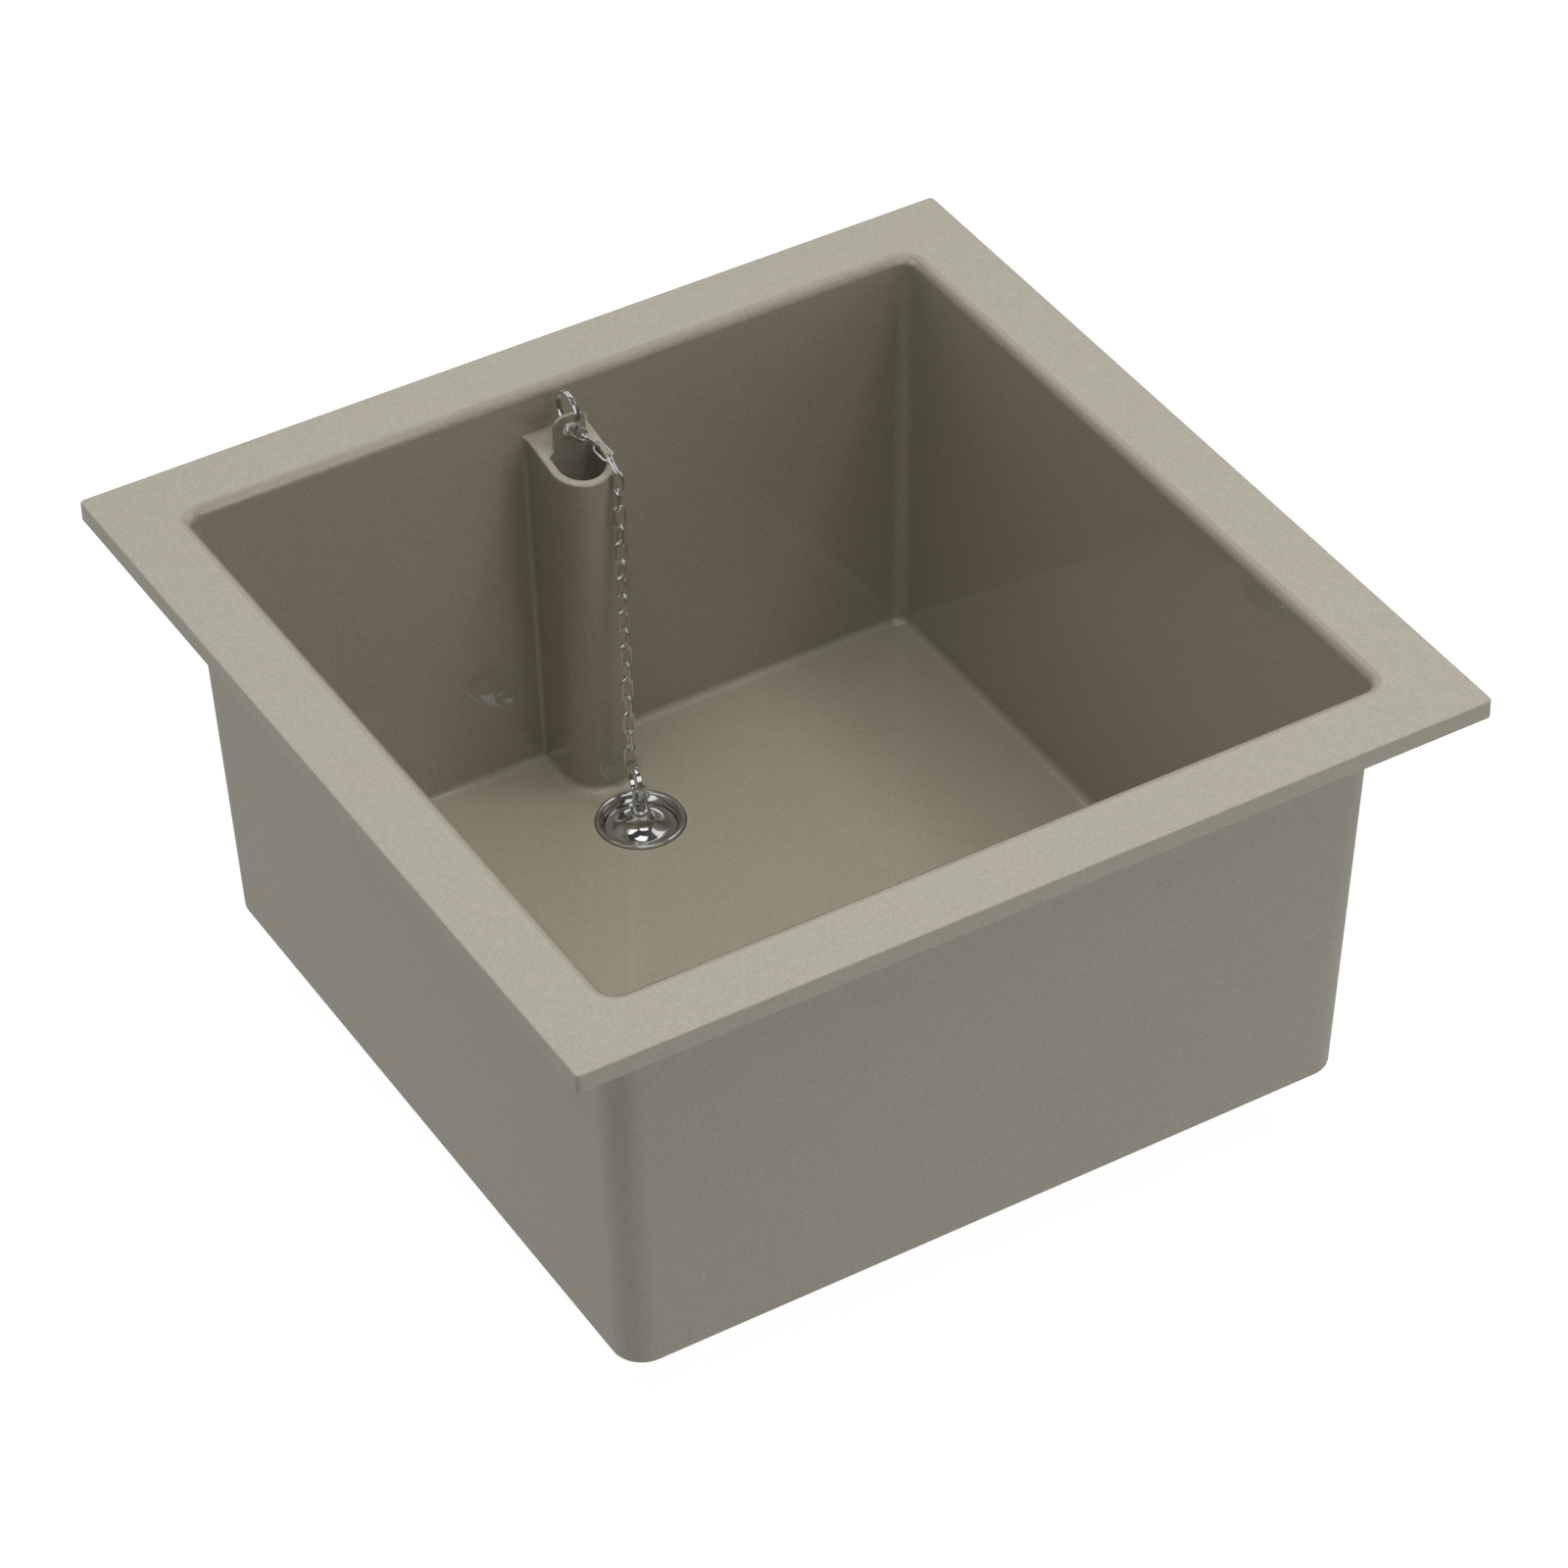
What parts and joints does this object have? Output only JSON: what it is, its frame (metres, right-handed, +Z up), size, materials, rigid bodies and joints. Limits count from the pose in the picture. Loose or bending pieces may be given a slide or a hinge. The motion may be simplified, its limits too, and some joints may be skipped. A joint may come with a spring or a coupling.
{
  "type": "mop service sink",
  "caption": "Square inset cleaner's sink with flat rim, integral overflow column, chromed waste and a plug on a link chain.",
  "frame": {"origin": "centre of the bowl's plan, at the lowest point of the waste tail", "axes": "+X to the right, +Y towards the wall that holds the overflow column, +Z up"},
  "size_m": [0.48, 0.48, 0.283],
  "materials": {
    "composite": "fine-grained moulded stone composite, satin outside and smoother in the bowl",
    "chrome": "bright chrome plating",
    "rubber": "matte black rubber",
    "nylon": "natural nylon",
    "brass": "plain turned brass"
  },
  "bodies": {
    "fixed": {"basin": "composite", "waste_body": "chrome", "flange_seal": "rubber", "under_washer": "rubber", "slip_washer": "nylon", "backnut": "brass"},
    "plug": {"plug_cap": "chrome", "plug_seal": "rubber", "plug_retainer": "chrome", "plug_screw": "brass", "plug_eye": "chrome"},
    "lower_ring": {"lower_ring": "chrome"},
    "upper_ring": {"upper_ring": "chrome"},
    "link_01": {"link_01": "chrome"},
    "link_02": {"link_02": "chrome"},
    "link_03": {"link_03": "chrome"},
    "link_04": {"link_04": "chrome"},
    "link_05": {"link_05": "chrome"},
    "link_06": {"link_06": "chrome"},
    "link_07": {"link_07": "chrome"},
    "link_08": {"link_08": "chrome"},
    "link_09": {"link_09": "chrome"},
    "link_10": {"link_10": "chrome"},
    "link_11": {"link_11": "chrome"},
    "link_12": {"link_12": "chrome"},
    "link_13": {"link_13": "chrome"},
    "link_14": {"link_14": "chrome"},
    "link_15": {"link_15": "chrome"},
    "link_16": {"link_16": "chrome"},
    "link_17": {"link_17": "chrome"},
    "link_18": {"link_18": "chrome"},
    "link_19": {"link_19": "chrome"},
    "link_20": {"link_20": "chrome"},
    "link_21": {"link_21": "chrome"}
  },
  "joints": [
    {"name": "plug_lift", "type": "slide", "parent": "fixed", "child": "plug", "axis": [0, 0, 1], "range_m": [0, 0.024]},
    {"name": "lower_ring_tilt", "type": "hinge", "parent": "plug", "child": "lower_ring", "pos_m": [-0.0057, 0.1233, 0.082], "axis": [0.9703, -0.2419, 0], "range_deg": [0, 6]},
    {"name": "upper_ring_swing", "type": "hinge", "parent": "fixed", "child": "upper_ring", "pos_m": [-0.002, 0.1875, 0.262], "axis": [1, 0, 0], "range_deg": [-3, 6]},
    {"name": "link_01_rise", "type": "slide", "parent": "fixed", "child": "link_01", "axis": [0, 0, 1], "range_m": [0, 0.0011]},
    {"name": "link_02_rise", "type": "slide", "parent": "fixed", "child": "link_02", "axis": [0, 0, 1], "range_m": [0, 0.00219]},
    {"name": "link_03_rise", "type": "slide", "parent": "fixed", "child": "link_03", "axis": [0, 0, 1], "range_m": [0, 0.00328]},
    {"name": "link_04_rise", "type": "slide", "parent": "fixed", "child": "link_04", "axis": [0, 0, 1], "range_m": [0, 0.00437]},
    {"name": "link_05_rise", "type": "slide", "parent": "fixed", "child": "link_05", "axis": [0, 0, 1], "range_m": [0, 0.00547]},
    {"name": "link_06_rise", "type": "slide", "parent": "fixed", "child": "link_06", "axis": [0, 0, 1], "range_m": [0, 0.00656]},
    {"name": "link_07_rise", "type": "slide", "parent": "fixed", "child": "link_07", "axis": [0, 0, 1], "range_m": [0, 0.00765]},
    {"name": "link_08_rise", "type": "slide", "parent": "fixed", "child": "link_08", "axis": [0, 0, 1], "range_m": [0, 0.00874]},
    {"name": "link_09_rise", "type": "slide", "parent": "fixed", "child": "link_09", "axis": [0, 0, 1], "range_m": [0, 0.00983]},
    {"name": "link_10_rise", "type": "slide", "parent": "fixed", "child": "link_10", "axis": [0, 0, 1], "range_m": [0, 0.01092]},
    {"name": "link_11_rise", "type": "slide", "parent": "fixed", "child": "link_11", "axis": [0, 0, 1], "range_m": [0, 0.01201]},
    {"name": "link_12_rise", "type": "slide", "parent": "fixed", "child": "link_12", "axis": [0, 0, 1], "range_m": [0, 0.0131]},
    {"name": "link_13_rise", "type": "slide", "parent": "fixed", "child": "link_13", "axis": [0, 0, 1], "range_m": [0, 0.01419]},
    {"name": "link_14_rise", "type": "slide", "parent": "fixed", "child": "link_14", "axis": [0, 0, 1], "range_m": [0, 0.01528]},
    {"name": "link_15_rise", "type": "slide", "parent": "fixed", "child": "link_15", "axis": [0, 0, 1], "range_m": [0, 0.01637]},
    {"name": "link_16_rise", "type": "slide", "parent": "fixed", "child": "link_16", "axis": [0, 0, 1], "range_m": [0, 0.01747]},
    {"name": "link_17_rise", "type": "slide", "parent": "fixed", "child": "link_17", "axis": [0, 0, 1], "range_m": [0, 0.01855]},
    {"name": "link_18_rise", "type": "slide", "parent": "fixed", "child": "link_18", "axis": [0, 0, 1], "range_m": [0, 0.01965]},
    {"name": "link_19_rise", "type": "slide", "parent": "fixed", "child": "link_19", "axis": [0, 0, 1], "range_m": [0, 0.02074]},
    {"name": "link_20_rise", "type": "slide", "parent": "fixed", "child": "link_20", "axis": [0, 0, 1], "range_m": [0, 0.02183]},
    {"name": "link_21_rise", "type": "slide", "parent": "fixed", "child": "link_21", "axis": [0, 0, 1], "range_m": [0, 0.02292]}
  ],
  "couplings": [
    {"joint": "link_01_rise", "follows": "plug_lift", "ratio": 0.045455},
    {"joint": "link_02_rise", "follows": "plug_lift", "ratio": 0.090909},
    {"joint": "link_03_rise", "follows": "plug_lift", "ratio": 0.13636},
    {"joint": "link_04_rise", "follows": "plug_lift", "ratio": 0.18182},
    {"joint": "link_05_rise", "follows": "plug_lift", "ratio": 0.22727},
    {"joint": "link_06_rise", "follows": "plug_lift", "ratio": 0.27273},
    {"joint": "link_07_rise", "follows": "plug_lift", "ratio": 0.31818},
    {"joint": "link_08_rise", "follows": "plug_lift", "ratio": 0.36364},
    {"joint": "link_09_rise", "follows": "plug_lift", "ratio": 0.40909},
    {"joint": "link_10_rise", "follows": "plug_lift", "ratio": 0.45454},
    {"joint": "link_11_rise", "follows": "plug_lift", "ratio": 0.5},
    {"joint": "link_12_rise", "follows": "plug_lift", "ratio": 0.54546},
    {"joint": "link_13_rise", "follows": "plug_lift", "ratio": 0.59091},
    {"joint": "link_14_rise", "follows": "plug_lift", "ratio": 0.63636},
    {"joint": "link_15_rise", "follows": "plug_lift", "ratio": 0.68182},
    {"joint": "link_16_rise", "follows": "plug_lift", "ratio": 0.72727},
    {"joint": "link_17_rise", "follows": "plug_lift", "ratio": 0.77273},
    {"joint": "link_18_rise", "follows": "plug_lift", "ratio": 0.81818},
    {"joint": "link_19_rise", "follows": "plug_lift", "ratio": 0.86364},
    {"joint": "link_20_rise", "follows": "plug_lift", "ratio": 0.90909},
    {"joint": "link_21_rise", "follows": "plug_lift", "ratio": 0.95454}
  ]
}
